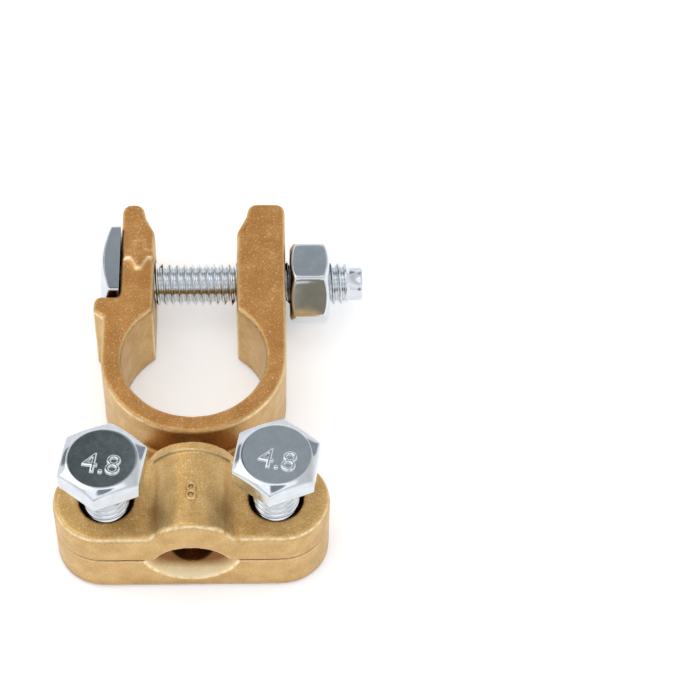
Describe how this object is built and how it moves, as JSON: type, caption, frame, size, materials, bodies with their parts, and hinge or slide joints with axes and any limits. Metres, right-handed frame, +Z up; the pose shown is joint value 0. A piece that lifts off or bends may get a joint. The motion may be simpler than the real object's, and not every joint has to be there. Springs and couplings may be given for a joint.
{
  "type": "battery terminal clamp",
  "caption": "Cast brass clamp for a car battery post: split ring with two ears and a clamp bolt, and a two-bolt plate clamp for the cable.",
  "frame": {"origin": "axis of the post bore, in the plane of the flat underside", "axes": "+Z up along the post bore, -Y towards the cable, +X towards the clamp nut"},
  "size_m": [0.0403, 0.054, 0.021],
  "materials": {
    "cast_brass": "fine tumbled casting skin, satin",
    "zinc_plated_steel": "bright zinc plating, glossy"
  },
  "bodies": {
    "casting": {"clamp_body": "cast_brass"},
    "cap": {"cable_cap": "cast_brass"},
    "clamp_bolt": {"clamp_bolt": "zinc_plated_steel"},
    "clamp_nut": {"clamp_nut": "zinc_plated_steel"},
    "left_cable_bolt": {"left_cable_bolt": "zinc_plated_steel"},
    "right_cable_bolt": {"right_cable_bolt": "zinc_plated_steel"}
  },
  "joints": [
    {"name": "nut_turn", "type": "hinge", "parent": "casting", "child": "clamp_nut", "pos_m": [0.0155, 0.0161, 0.0065], "axis": [1, 0, 0], "range_deg": [-2, 2882]},
    {"name": "clamp_bolt_slide", "type": "slide", "parent": "casting", "child": "clamp_bolt", "axis": [-1, 0, 0], "range_m": [0, 0.008]},
    {"name": "left_bolt_turn", "type": "hinge", "parent": "casting", "child": "left_cable_bolt", "pos_m": [-0.0107, -0.0217, 0.0065], "axis": [0, 0, 1], "range_deg": [-1800, 1620]},
    {"name": "right_bolt_turn", "type": "hinge", "parent": "casting", "child": "right_cable_bolt", "pos_m": [0.0107, -0.0217, 0.0065], "axis": [0, 0, 1], "range_deg": [-1800, 1620]},
    {"name": "cap_lift", "type": "slide", "parent": "casting", "child": "cap", "axis": [0, 0, 1], "range_m": [0, 0.005]}
  ],
  "couplings": [
    {"joint": "nut_turn", "follows": "clamp_bolt_slide", "rad_per_m": 6283.2}
  ]
}
